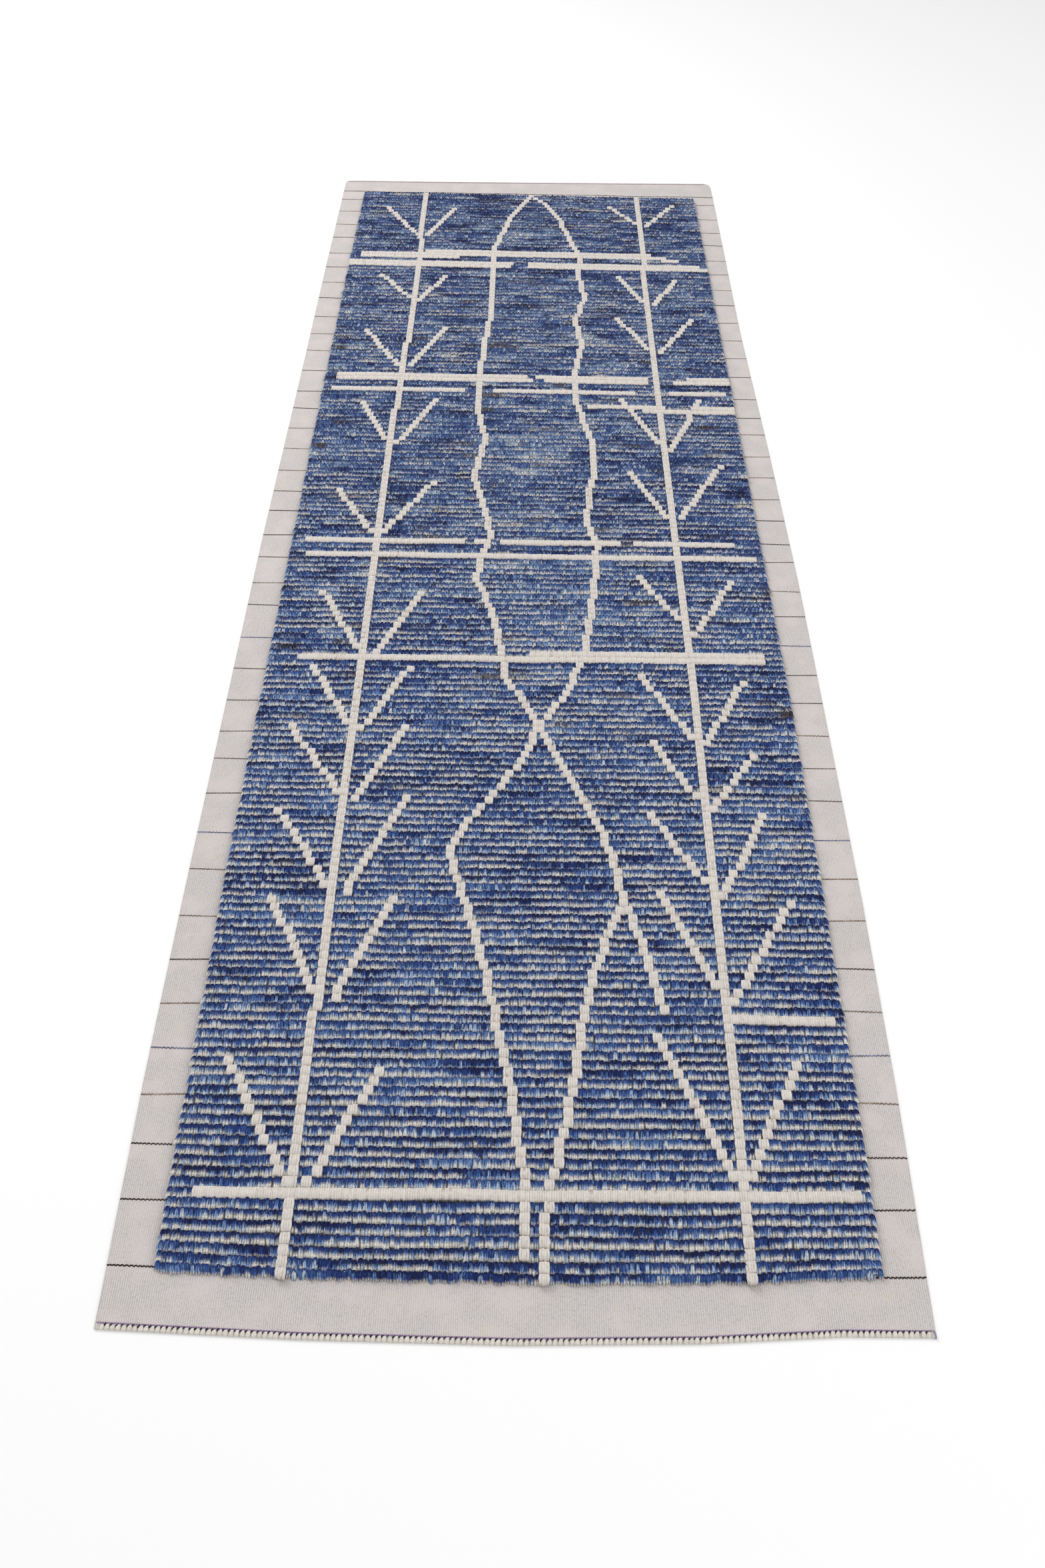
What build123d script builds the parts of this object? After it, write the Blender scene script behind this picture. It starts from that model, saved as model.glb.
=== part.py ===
"""Hand-knotted high-low runner rug, lying flat, in millimetres.

A flat-woven ground carries rows of pile knots. Blue knots fill the field and ivory knots draw two branching
trees, a long lattice and cross bars. Thin marker wefts cross the ground between rows, and both ends are
overcast with thick yarn that a finer thread locks down.

+Z is up and +Y runs along the rug from its front end to its back end. The origin is under the middle of the
overall size. Plan sizes are counted from the front left corner and moved to the origin by plan().
"""

import os
from math import atan2, degrees, exp, hypot

from build123d import *

# ---------------------------------------------------------------- driving dimensions
MIDDLE_X = 455.0  # middle of the overall width, from the front left corner
MIDDLE_Y = 1421.5  # middle of the overall length, from the front left corner

GROUND_T = 3.0  # thickness of the flat-woven ground
BLUE_PILE_H = 9.0  # how far the blue tufts stand above the ground
IVORY_PILE_H = 10.0  # the ivory knots are a little longer and stand proud

COLUMNS = 144  # knots in a row
ROW_PITCH = 13.35  # distance from one row to the next, of 203
FIELD_FRONT = 58.5  # front side of the first row
BLUE_FRONT = 0.09  # where a row's blue tufts begin, as a share of the row from its front
BLUE_BACK = 0.82  # and where they end, which leaves a furrow behind each row
SIDE_GAP = 0.2  # between a blue run and the ivory knot beside it
FRONT_BOW = 9.0  # the first rows sag this far forward in the middle
BOW_SHAPE = [(0, 0.0), (36, 0.75), (72, 1.0), (108, 0.75), (144, 0.0)]  # share of the sag, column by column
BOW_FADE = 90.0  # length over which that sag fades out
BACK_SLANT = 17.0  # the last row lies this much further forward on the right than on the left
SLANT_START = 1000.0  # where the slant begins

WEFT_D = 1.5  # marker weft yarn
WEFT_GROOVE = 1.7  # width of the shed it lies in
WEFT_END_GAP = 0.8  # a weft turns back just short of the side edge

STITCH_PITCH = 6.06  # overcast stitches along an end
STITCH_W = 5.5  # width of one stitch
STITCH_T = 0.8  # thickness of the overcast yarn on each face
FRONT_STITCH_D = 7.0  # how deep the overcast reaches at the front end
BACK_STITCH_D = 5.0  # and at the back end
CORE_GAP = 0.05  # between the overcast yarn and the ground's end it is sewn over
LOCK_LENGTH = 5.3  # one float of the locking thread
LOCK_WIDTH = 1.4
LOCK_T = 0.9
LOCK_SKEW = 14.0  # degrees that a float leans across the end

# Outline of the ground, each as (distance along the edge, position of the edge)
LEFT_EDGE = [
    (0, 0), (300, -5), (600, -6), (1400, -5), (1700, -2), (2000, 1), (2400, 4), (2840, 9), (2848.5, 12),
]
RIGHT_EDGE = [
    (0, 900), (300, 910), (600, 915), (1300, 916), (1700, 910), (2050, 902), (2150, 900), (2832, 897),
    (2848, 894), (2856, 886),
]
FRONT_EDGE = [(0, 0), (220, -9), (450, -13), (650, -9), (800, 0), (900, 0)]
BACK_EDGE = [(12, 2848.5), (450, 2850), (886, 2856)]
FRONT_MARGIN = 2.5  # the overcast stops this far short of the front corners
BACK_MARGIN = 3.0  # and of the back corners

# Left and right limits of the knotted field, each as (distance from the front, position)
FIELD_LEFT = [(65, 54), (642, 48), (1189, 49.5), (1686, 52), (2034, 54), (2382, 57.5), (2770, 62)]
FIELD_RIGHT = [
    (65, 852), (293, 857.5), (642, 860.5), (1000, 863.5), (1390, 859.5), (2034, 855), (2770, 847.5),
]

# Marker wefts, as (distance from the front at the left edge, at the right edge)
DARK_WEFTS = [
    (71, 67), (151, 146), (222, 212), (490, 485), (788, 785), (858, 852), (986, 992), (1059, 1057),
    (1217, 1202), (1346, 1348), (1410, 1398), (1481, 1468), (1541, 1532), (1819, 1802), (1882, 1868),
    (1959, 1953), (2259, 2247), (2402, 2385), (2545, 2525), (2788, 2777),
]
BROWN_WEFTS = [
    (288, 285), (420, 419), (562, 565), (644, 638), (917, 920), (1276, 1267), (1608, 1600), (1679, 1669),
    (1749, 1743), (2039, 2026), (2105, 2098), (2179, 2170), (2330, 2314), (2468, 2449), (2611, 2588),
    (2680, 2656), (2743, 2733),
]
BLUE_WEFTS = [(354, 353), (711, 710), (1133, 1129)]

# The design, as (column, row) on the grid of knots. A line is two knots wide and is centred on its column.
LEFT_TRUNK = [
    (25, 0), (25, 24), (26.5, 29), (26.5, 99), (25.5, 101), (25.5, 125), (27, 133), (28, 166), (27, 202),
]
RIGHT_TRUNK = [(117.5, 0), (117.5, 72), (118.5, 75), (118.5, 115), (118, 123), (118, 150), (119, 202)]
# One tree's boughs, as (left tip, left foot, right foot, right tip), from front to back
LEFT_BOUGHS = [
    ((8, 20), (23.5, 8), (28.5, 8), (41, 19)),
    ((12, 39), (24.5, 28), (29.5, 27), (41, 39)),
    ((10.5, 51), (24.5, 41), (29.5, 40), (42, 53)),
    ((9.5, 64), (24.5, 54), (29, 53), (40, 64)),
    ((13, 74), (24.5, 65), (28.5, 64), (39.5, 74)),
    ((12.5, 88), (24, 78), (29.5, 77), (41, 88)),
    ((11.5, 110), (23.5, 101), (28, 101), (41.5, 112)),
    ((15, 132), (23.5, 123), (28.5, 122), (40, 133)),
    ((12, 153), (25, 143), (29.5, 143), (41, 154)),
    ((14.5, 171), (25.5, 164), (30, 163), (39, 171)),
    ((12, 196), (25.5, 186), (29.5, 186), (40, 196)),
]
RIGHT_BOUGHS = [
    ((102.5, 23), (115.5, 9), (119.5, 9), (132, 20)),
    ((105, 40), (115.5, 29), (120, 27), (135.5, 39)),
    ((104, 51), (115.5, 42), (120, 40), (132.5, 51)),
    ((105.5, 62), (115.5, 54), (120, 52), (131.5, 60)),
    ((104, 73), (116, 63), (120, 62), (131.5, 72)),
    ((105.5, 92), (116, 84), (120.5, 81), (133, 91)),
    ((106, 115), (116.5, 105), (121, 105), (135.5, 117)),
    ((105, 134), (116, 123), (120.5, 121), (132, 134)),
    ((106, 158), (116.5, 149), (121, 148), (134, 158)),
    ((108, 172), (116.5, 164), (121, 163), (130, 171)),
    ((107, 198), (117, 192), (121.5, 191), (134, 199)),
]
# The lattice is two lines that start side by side at the front, cross once and meet at the back
LATTICE_A = [
    (73, 2), (73, 8), (69.5, 17), (66, 25), (62, 33), (53.5, 46), (61, 52), (66, 55), (72, 60), (76, 65),
    (82, 69), (88, 76), (90, 82), (93, 93), (93.5, 98), (91, 104), (92.5, 111), (94.5, 117), (93.5, 123),
    (91, 129), (89, 134), (88.5, 140), (92, 150), (90, 157), (94, 165), (91.5, 174), (93, 178), (91.5, 181),
    (88, 187), (85, 193), (79, 199), (73, 202),
]
LATTICE_B = [
    (77, 0), (77.5, 6), (82, 15), (87, 28), (92, 35), (96, 39), (94.5, 44), (90, 50), (85, 55), (77, 63),
    (71, 69), (66, 73), (64.5, 79), (62, 85), (57, 91), (58, 95), (61, 100), (60, 104), (57, 109), (55, 114),
    (58, 123), (55, 131), (55.5, 145), (58, 160), (58, 181), (61, 187), (64.5, 193), (73, 202),
]
LATTICE_SPUR = [(96, 39), (100, 34), (103.5, 26)]
# Cross bars, as (row, first column, end column)
BARS = [
    [(7, 5, 142)],
    [(25, 119, 142)],
    [(76, 8, 139), (77, 73, 139)],
    [(96, 5, 142)],
    [(99, 4, 53), (99, 56, 61), (99, 64, 101), (99, 105, 136)],
    [(132, 93, 120), (132, 130, 144), (131, 112, 144)],
    [(136, 3, 50), (136, 60, 110), (136, 122, 142)],
    [(139, 4, 74), (140, 4, 72), (139, 78, 115), (140, 75, 115), (139, 124, 144), (140, 129, 144)],
    [(175, 0, 65), (176, 0, 66), (175, 72, 144), (176, 72, 141)],
    [(178, 4, 44), (179, 4, 128), (180, 30, 122), (178, 126, 133)],
]
# The blue field is knotted in these bands of rows, from bar to bar
BLUE_BANDS = [(0, 7), (8, 25), (26, 75), (76, 96), (97, 131), (132, 140), (141, 174), (175, 202)]


# ---------------------------------------------------------------- plan geometry
def plan(x, y):
    """A point counted from the front left corner, moved to the rug's own origin."""
    return (x - MIDDLE_X, y - MIDDLE_Y)


def along(points, distance):
    """Value of a list of (distance, value) at a distance, straight between its points."""
    for (start, low), (end, high) in zip(points, points[1:]):
        if distance <= end:
            return low + (high - low) * (max(distance, start) - start) / (end - start)
    return points[-1][1]


def corner(column, row):
    """Plan position of the corner between columns and rows of knots."""
    middle = FIELD_FRONT + ROW_PITCH * row
    left = along(FIELD_LEFT, middle)
    right = along(FIELD_RIGHT, middle)
    across = column / COLUMNS
    bow = FRONT_BOW * along(BOW_SHAPE, column) * exp(-ROW_PITCH * row / BOW_FADE)
    slant = BACK_SLANT * max(0.0, middle - SLANT_START) / 1800.0 * across
    return plan(left + (right - left) * across, middle - bow - slant)


# ---------------------------------------------------------------- the design as cells of the knot grid
def line_cells(points):
    """Cells of a line two knots wide that goes through (column, row) points, row by row."""
    if points[0][1] > points[-1][1]:
        points = points[::-1]
    by_row = [(row, column) for column, row in points]
    cells = set()
    for row in range(by_row[0][0], by_row[-1][0] + 1):
        first = round(along(by_row, row)) - 1
        cells |= {(first, row), (first + 1, row)}
    return cells


def bough_cells(boughs, side):
    """Cells of every bough on one side of a tree. Side 0 is the left and side 1 the right."""
    cells = set()
    for left_tip, left_foot, right_foot, right_tip in boughs:
        cells |= line_cells([left_foot, left_tip] if side == 0 else [right_foot, right_tip])
    return cells


def bar_cells(pieces):
    """Cells of one cross bar, made of stretches of whole rows."""
    return {(column, row) for row, first, end in pieces for column in range(first, end)}


ELEMENTS = {
    "ivory_trunk_left": line_cells(LEFT_TRUNK),
    "ivory_trunk_right": line_cells(RIGHT_TRUNK),
    "ivory_lattice_a": line_cells(LATTICE_A),
    "ivory_lattice_b": line_cells(LATTICE_B),
    "ivory_lattice_spur": line_cells(LATTICE_SPUR),
    "ivory_boughs_left_outer": bough_cells(LEFT_BOUGHS, 0),
    "ivory_boughs_left_inner": bough_cells(LEFT_BOUGHS, 1),
    "ivory_boughs_right_inner": bough_cells(RIGHT_BOUGHS, 0),
    "ivory_boughs_right_outer": bough_cells(RIGHT_BOUGHS, 1),
}
for number, pieces in enumerate(BARS, 1):
    ELEMENTS[f"ivory_bar_{number:02d}"] = bar_cells(pieces)

# A knot belongs to one element only: the first in the list above that passes through it
owned = set()
for cells in ELEMENTS.values():
    cells -= owned
    owned |= cells


def runs(cells, row):
    """First and end column of each unbroken stretch of cells in a row."""
    columns = sorted(column for column, cell_row in cells if cell_row == row)
    starts = [c for c in columns if c - 1 not in columns]
    ends = [c + 1 for c in columns if c + 1 not in columns]
    return list(zip(starts, ends))


def polygon(points):
    """A flat face through the points."""
    return Face(Wire.make_polygon([Vector(x, y, GROUND_T) for x, y in points]))


def bends(first, end):
    """Columns where the outline of a run has a corner: its two ends and the bends of the sag between them."""
    return [first] + [column for column, share in BOW_SHAPE if first < column < end] + [end]


def ivory_faces(cells):
    """Footprints of a set of ivory knots, one face for each stretch of a row, with shared corners."""
    faces = []
    for row in sorted({row for column, row in cells}):
        for first, end in runs(cells, row):
            near = [corner(column, row) for column in bends(first, end)]
            far = [corner(column, row + 1) for column in reversed(bends(first, end))]
            faces.append(polygon(near + far))
    return faces


def inset(points):
    """The points of one side of a blue run, with its two end points drawn in by the gap."""
    (first_x, first_y), (last_x, last_y) = points[0], points[-1]
    return [(first_x + SIDE_GAP, first_y)] + points[1:-1] + [(last_x - SIDE_GAP, last_y)]


def blue_faces(first_row, last_row):
    """Footprints of the blue runs between the ivory knots, row by row."""
    faces = []
    for row in range(first_row, last_row + 1):
        free = {(column, row) for column in range(COLUMNS)} - owned
        for first, end in runs(free, row):
            near = inset([corner(column, row + BLUE_FRONT) for column in bends(first, end)])
            far = inset([corner(column, row + BLUE_BACK) for column in bends(first, end)])
            faces.append(polygon(near + far[::-1]))
    return faces


def export(part, name):
    """Names the piece and writes it to its own file."""
    part.label = name
    export_step(part, f"parts/{name}.step")


os.makedirs("parts", exist_ok=True)


# ---------------------------------------------------------------- ground weave
def outline(front_inset, back_inset):
    """Corners of the ground's outline, with its two ends drawn in by the insets."""
    front = [plan(x, y + front_inset) for x, y in FRONT_EDGE]
    right = [plan(x, y) for y, x in RIGHT_EDGE[1:-1]]
    back = [plan(x, y - back_inset) for x, y in reversed(BACK_EDGE)]
    left = [plan(x, y) for y, x in reversed(LEFT_EDGE[1:-1])]
    return front + right + back + left


WEFTS = {
    "marker_wefts_dark": DARK_WEFTS,
    "marker_wefts_brown": BROWN_WEFTS,
    "marker_wefts_blue": BLUE_WEFTS,
}


def weft_place(left_y, right_y):
    """Middle, length and turn about Z of a marker weft that spans the ground."""
    start = plan(along(LEFT_EDGE, left_y) + WEFT_END_GAP, left_y)
    end = plan(along(RIGHT_EDGE, right_y) - WEFT_END_GAP, right_y)
    across, forward = end[0] - start[0], end[1] - start[1]
    middle = ((start[0] + end[0]) / 2, (start[1] + end[1]) / 2)
    return middle, hypot(across, forward), degrees(atan2(forward, across))


core_z = STITCH_T + CORE_GAP
with BuildPart() as ground_weave:
    with BuildSketch(Plane.XY):
        Polygon(*outline(FRONT_STITCH_D + CORE_GAP, BACK_STITCH_D + CORE_GAP), align=None)
    extrude(amount=GROUND_T)
    with BuildSketch(Plane.XY.offset(core_z)):
        Polygon(*outline(core_z, core_z), align=None)
    extrude(amount=GROUND_T - 2 * core_z)
    for places in WEFTS.values():
        for left_y, right_y in places:
            (x, y), length, turn = weft_place(left_y, right_y)
            with Locations(Location((x, y, GROUND_T), (0, 0, turn))):
                Box(length + 6, WEFT_GROOVE, 2 * WEFT_D + 0.1, mode=Mode.SUBTRACT)
export(ground_weave.part, "ground_weave")

for name, places in WEFTS.items():
    with BuildPart() as wefts:
        for left_y, right_y in places:
            (x, y), length, turn = weft_place(left_y, right_y)
            with Locations(Location((x, y, GROUND_T - WEFT_D / 2), (0, 0, turn))):
                Cylinder(WEFT_D / 2, length, rotation=(0, 90, 0))
    export(wefts.part, name)


# ---------------------------------------------------------------- overcast ends
def end_places(edge, inward, margin, z):
    """Evenly spaced places along an end, turned to follow it. Inward is 1 at the front and -1 at the back."""
    start, end = edge[0][0] + margin, edge[-1][0] - margin
    count = int((end - start) / STITCH_PITCH)
    first = (start + end - (count - 1) * STITCH_PITCH) / 2
    places = []
    for i in range(count):
        x = first + i * STITCH_PITCH
        slope = along(edge, x + 1) - along(edge, x - 1)
        turn = degrees(atan2(slope, 2)) + (0 if inward > 0 else 180)
        px, py = plan(x, along(edge, x))
        places.append(Location((px, py, z), (0, 0, turn)))
    return places


def overcast(edge, inward, margin, depth, name):
    """A row of stitches, each wrapping the end from its upper face round to its lower face."""
    with BuildPart() as stitches:
        with Locations(*end_places(edge, inward, margin, 0)):
            Box(STITCH_W, depth - 0.1, GROUND_T, align=(Align.CENTER, Align.MIN, Align.MIN))
        with Locations(*end_places(edge, inward, margin, STITCH_T)):
            with Locations((0, STITCH_T, 0)):
                Box(
                    STITCH_W + 1, depth, GROUND_T - 2 * STITCH_T, align=(Align.CENTER, Align.MIN, Align.MIN),
                    mode=Mode.SUBTRACT,
                )
    export(stitches.part, name)


def lock_thread(edge, inward, margin, depth, name):
    """Floats of the thread that locks the overcast stitches down, along their inner side."""
    with BuildPart() as floats:
        with BuildSketch(Plane.XY.offset(GROUND_T)):
            with Locations(*end_places(edge, inward, margin, 0)):
                with Locations(Location((0, depth + 1.6), LOCK_SKEW)):
                    SlotOverall(LOCK_LENGTH, LOCK_WIDTH)
        extrude(amount=LOCK_T)
    export(floats.part, name)


overcast(FRONT_EDGE, 1, FRONT_MARGIN, FRONT_STITCH_D, "overcast_front")
overcast(BACK_EDGE, -1, BACK_MARGIN, BACK_STITCH_D, "overcast_back")
lock_thread(FRONT_EDGE, 1, FRONT_MARGIN + 1, FRONT_STITCH_D, "lock_thread_front")
lock_thread(BACK_EDGE, -1, BACK_MARGIN + 1, BACK_STITCH_D, "lock_thread_back")


# ---------------------------------------------------------------- pile
for name, cells in ELEMENTS.items():
    with BuildPart() as knots:
        with BuildSketch(Plane.XY.offset(GROUND_T)):
            add(ivory_faces(cells))
        extrude(amount=IVORY_PILE_H)
    export(knots.part, name)

for number, (first_row, last_row) in enumerate(BLUE_BANDS, 1):
    with BuildPart() as tufts:
        with BuildSketch(Plane.XY.offset(GROUND_T)):
            add(blue_faces(first_row, last_row))
        extrude(amount=BLUE_PILE_H)
    export(tufts.part, f"blue_pile_{number}")
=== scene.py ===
"""Looks for the hand-knotted runner rug: tufts of yarn, woven ground, marker wefts, stitched ends, studio.

Sizes and places are millimetres in the rug's own frame, up to the studio. Meshes are made in metres.
"""

import math

import bpy
import numpy as np
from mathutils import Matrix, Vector
from mathutils.bvhtree import BVHTree


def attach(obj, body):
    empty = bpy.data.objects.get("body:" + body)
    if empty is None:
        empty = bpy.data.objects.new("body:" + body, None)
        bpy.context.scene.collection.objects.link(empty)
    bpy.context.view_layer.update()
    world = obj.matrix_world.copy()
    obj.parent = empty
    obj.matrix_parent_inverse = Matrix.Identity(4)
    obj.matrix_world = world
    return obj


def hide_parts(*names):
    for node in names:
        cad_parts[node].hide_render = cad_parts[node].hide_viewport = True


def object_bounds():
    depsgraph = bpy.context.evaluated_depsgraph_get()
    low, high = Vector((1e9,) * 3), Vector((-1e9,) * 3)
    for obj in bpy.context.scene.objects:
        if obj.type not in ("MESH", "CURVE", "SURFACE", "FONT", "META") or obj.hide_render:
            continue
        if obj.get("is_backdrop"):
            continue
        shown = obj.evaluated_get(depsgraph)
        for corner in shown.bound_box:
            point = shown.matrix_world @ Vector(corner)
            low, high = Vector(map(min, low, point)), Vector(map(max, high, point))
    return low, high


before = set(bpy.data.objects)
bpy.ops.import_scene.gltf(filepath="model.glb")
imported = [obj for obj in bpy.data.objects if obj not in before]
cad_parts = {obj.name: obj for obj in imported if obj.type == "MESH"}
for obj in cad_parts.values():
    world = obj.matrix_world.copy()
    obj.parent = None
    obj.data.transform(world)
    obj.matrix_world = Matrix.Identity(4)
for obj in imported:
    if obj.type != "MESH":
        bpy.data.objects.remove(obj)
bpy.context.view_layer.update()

rng = np.random.default_rng(20)
MM = 0.001

# ---------------------------------------------------------------- the rug's plan
MIDDLE = np.array([455.0, 1421.5])  # from the front left corner to the origin
ROWS, COLUMNS = 203, 144  # of knots
ROW_PITCH = 13.35
FIELD_FRONT = 58.5  # front side of the first row
FRONT_BOW = 9.0  # the first row sags this far forward in its middle
BOW_SHAPE = [(0, 0.0), (36, 0.75), (72, 1.0), (108, 0.75), (144, 0.0)]  # share of the sag by column
BOW_FADE = 90.0  # length over which the sag fades from row to row
BACK_SLANT = 17.0  # the last row lies about this much further forward at its right end
SLANT_START, SLANT_LENGTH = 1000.0, 1800.0

# Outline of the ground and sides of the knotted field, each as (distance along the edge, position)
LEFT_EDGE = [
    (0, 0), (300, -5), (600, -6), (1400, -5), (1700, -2), (2000, 1), (2400, 4), (2840, 9), (2848.5, 12),
]
RIGHT_EDGE = [
    (0, 900), (300, 910), (600, 915), (1300, 916), (1700, 910), (2050, 902), (2150, 900), (2832, 897),
    (2848, 894), (2856, 886),
]
FRONT_EDGE = [(0, 0), (220, -9), (450, -13), (650, -9), (800, 0), (900, 0)]
BACK_EDGE = [(12, 2848.5), (450, 2850), (886, 2856)]
FIELD_LEFT = [(65, 54), (642, 48), (1189, 49.5), (1686, 52), (2034, 54), (2382, 57.5), (2770, 62)]
FIELD_RIGHT = [
    (65, 852), (293, 857.5), (642, 860.5), (1000, 863.5), (1390, 859.5), (2034, 855), (2770, 847.5),
]


def along(points, distance):
    """Value of a list of (distance, value) at one or many distances."""
    distances, values = zip(*points)
    return np.interp(distance, distances, values)


def corner(column, row):
    """Plan position of grid corners between columns and rows of knots."""
    middle = FIELD_FRONT + ROW_PITCH * row
    left, right = along(FIELD_LEFT, middle), along(FIELD_RIGHT, middle)
    across = column / COLUMNS
    bow = FRONT_BOW * along(BOW_SHAPE, column) * np.exp(-ROW_PITCH * row / BOW_FADE)
    slant = BACK_SLANT * np.maximum(0.0, middle - SLANT_START) / SLANT_LENGTH * across
    return left + (right - left) * across - MIDDLE[0], middle - bow - slant - MIDDLE[1]


# ---------------------------------------------------------------- colours
def linear(red, green, blue):
    """Linear colour from display values out of 255."""
    c = np.array([red, green, blue]) / 255.0
    return np.where(c <= 0.04045, c / 12.92, ((c + 0.055) / 1.055) ** 2.4)


# Blue yarn from its darkest, 0, to its undyed tip, 1
BLUE_STOPS = [0.0, 0.22, 0.45, 0.65, 0.82, 1.0]
BLUE_RAMP = np.array([
    linear(20, 31, 79), linear(36, 60, 126), linear(68, 102, 163), linear(121, 153, 197),
    linear(182, 197, 212), linear(226, 220, 211),
])
BROWN_YARN = linear(74, 66, 66)
# The second ivory colour is painted shade on the ivory yarn ends, and also the colour of their brown specks
IVORY_YARN, IVORY_PAINTED_SHADE_AND_SPECK = linear(216, 209, 202), linear(158, 140, 126)
# The second stitch colour is painted shade on the stitches' sides, and also a random darker tone
STITCH_YARN, STITCH_PAINTED_SHADE_AND_TONE = linear(219, 213, 203), linear(150, 140, 132)
FADED_WEFT = linear(170, 158, 148)
LILAC, NAVY = linear(152, 130, 160), linear(30, 26, 52)
ROSE, MAUVE = linear(190, 170, 178), linear(150, 134, 142)


def blue_colour(value):
    """Colour of blue yarn for values from 0, navy, to 1, undyed."""
    value = np.clip(value, 0, 1)
    return np.stack([np.interp(value, BLUE_STOPS, BLUE_RAMP[:, k]) for k in range(3)], -1)


# ---------------------------------------------------------------- meshes
BAKE_MARGIN, BAKE_SIDE = 0.08, 0.84  # a tube's place in its square of the bake layout, in shares of it


def mesh_piece(name, points, groups, material, colours=None, uv=None):
    """A mesh object from points in millimetres and groups of faces, each an array of point numbers."""
    loops = np.concatenate([g.reshape(-1) for g in groups])
    sizes = np.concatenate([np.full(len(g), g.shape[1]) for g in groups])
    starts = np.concatenate([[0], np.cumsum(sizes)[:-1]])
    mesh = bpy.data.meshes.new(name)
    mesh.vertices.add(len(points))
    mesh.vertices.foreach_set("co", (points * MM).astype(np.float32).ravel())
    mesh.loops.add(len(loops))
    mesh.loops.foreach_set("vertex_index", loops.astype(np.int32))
    mesh.polygons.add(len(sizes))
    mesh.polygons.foreach_set("loop_start", starts.astype(np.int32))
    mesh.polygons.foreach_set("use_smooth", np.full(len(sizes), True))
    if uv is not None:
        layer = mesh.uv_layers.new(name="OFBake")
        layer.data.foreach_set("uv", uv.astype(np.float32).ravel())
    mesh.update(calc_edges=True)
    if colours is not None:
        attribute = mesh.color_attributes.new("yarn", "FLOAT_COLOR", "POINT")
        rgba = np.ones((len(points), 4), np.float32)
        rgba[:, :3] = colours
        attribute.data.foreach_set("color", rgba.ravel())
    piece = bpy.data.objects.new(name, mesh)
    bpy.context.scene.collection.objects.link(piece)
    mesh.materials.append(material)
    return piece


class Tubes:
    """Closed tubes along many paths at once. Paths is (tube, ring, xyz), and wide and thick are half sizes.

    Across is the direction that a cosine of 1 round the tube points to, as near as the path allows.
    Each tube has a square of its own in the bake layout, from square number first of all the squares.
    """

    def __init__(self, paths, wide, thick, sides, spin=0.0, across=(1.0, 0.0, 0.0), first=0, squares=None):
        count, rings = paths.shape[:2]
        tangent = np.gradient(paths, axis=1)
        tangent /= np.linalg.norm(tangent, axis=2, keepdims=True)
        side = np.broadcast_to(np.array(across), paths.shape).copy()
        side -= tangent * (side * tangent).sum(2, keepdims=True)
        side /= np.linalg.norm(side, axis=2, keepdims=True)
        up = np.cross(tangent, side)
        angle = 2 * np.pi * np.arange(sides) / sides + spin
        self.cosine = np.broadcast_to(np.cos(angle), (count, rings, sides))
        self.sine = np.broadcast_to(np.sin(angle), (count, rings, sides))
        wide = np.broadcast_to(wide, (count, rings))[..., None, None]
        thick = np.broadcast_to(thick, (count, rings))[..., None, None]
        ring = paths[:, :, None] + wide * self.cosine[..., None] * side[:, :, None]
        ring = ring + thick * self.sine[..., None] * up[:, :, None]
        self.points = ring.reshape(-1, 3)

        number = np.arange(count * rings * sides).reshape(count, rings, sides)
        a, b = number[:, :-1], number[:, 1:]
        quads = np.stack([a, np.roll(a, -1, 2), np.roll(b, -1, 2), b], -1).reshape(-1, 4)
        self.groups = [quads, np.concatenate([number[:, -1], number[:, 0, ::-1]])]

        self.cells = int(math.ceil(math.sqrt(squares or count)))
        square = first + np.arange(count)
        self.square = np.stack([square % self.cells, square // self.cells], -1)
        u, v = np.arange(sides + 1) / sides, np.arange(rings) / (rings - 1)
        v0, u0 = np.meshgrid(v[:-1], u[:-1], indexing="ij")
        v1, u1 = np.meshgrid(v[1:], u[1:], indexing="ij")
        self.uv = np.concatenate([
            self.layout(np.stack([u0, u1, u1, u0], -1), np.stack([v0, v0, v1, v1], -1)),
            self.layout(u[:-1], np.ones(sides)),
            self.layout(u[:-1][::-1], np.zeros(sides)),
        ])

    def layout(self, u, v):
        """Bake layout, in every tube's square, of face corners at shares u round the tube and v along it."""
        local = np.stack(np.broadcast_arrays(u, v), -1) * BAKE_SIDE + BAKE_MARGIN
        square = self.square.reshape((-1,) + (1,) * (local.ndim - 1) + (2,))
        return ((square + local[None]) / self.cells).reshape(-1, 2)


def tube_piece(name, sets, colours, material):
    """One piece made of several sets of tubes, with the colours of each set."""
    starts = np.cumsum([0] + [len(each.points) for each in sets])
    groups = [group + start for each, start in zip(sets, starts) for group in each.groups]
    points = np.concatenate([each.points for each in sets])
    uv = np.concatenate([each.uv for each in sets])
    return mesh_piece(name, points, groups, material, np.concatenate([c.reshape(-1, 3) for c in colours]), uv)


def path_of(steps):
    """Paths of many tubes from a list of (x, y, z), one for each ring."""
    return np.stack([np.stack(np.broadcast_arrays(*step), -1) for step in steps], 1)


def by_tube(values):
    """One value for each tube, shaped to combine with values by tube, ring and side."""
    return values[:, None, None]


def by_ring(values):
    """One value for each ring, shaped to combine with values by tube, ring and side."""
    return np.array(values)[None, :, None]


# ---------------------------------------------------------------- materials
SHEEN_ROUGHNESS, SPECULAR = 0.6, 0.15  # of all the wool
NOISE_ROUGHNESS = 0.55
WEFT_PITCH = 2.3  # of the ground's weave along the rug
RIB_PITCH = 2.45  # of the ground's weave across the rug


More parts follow.
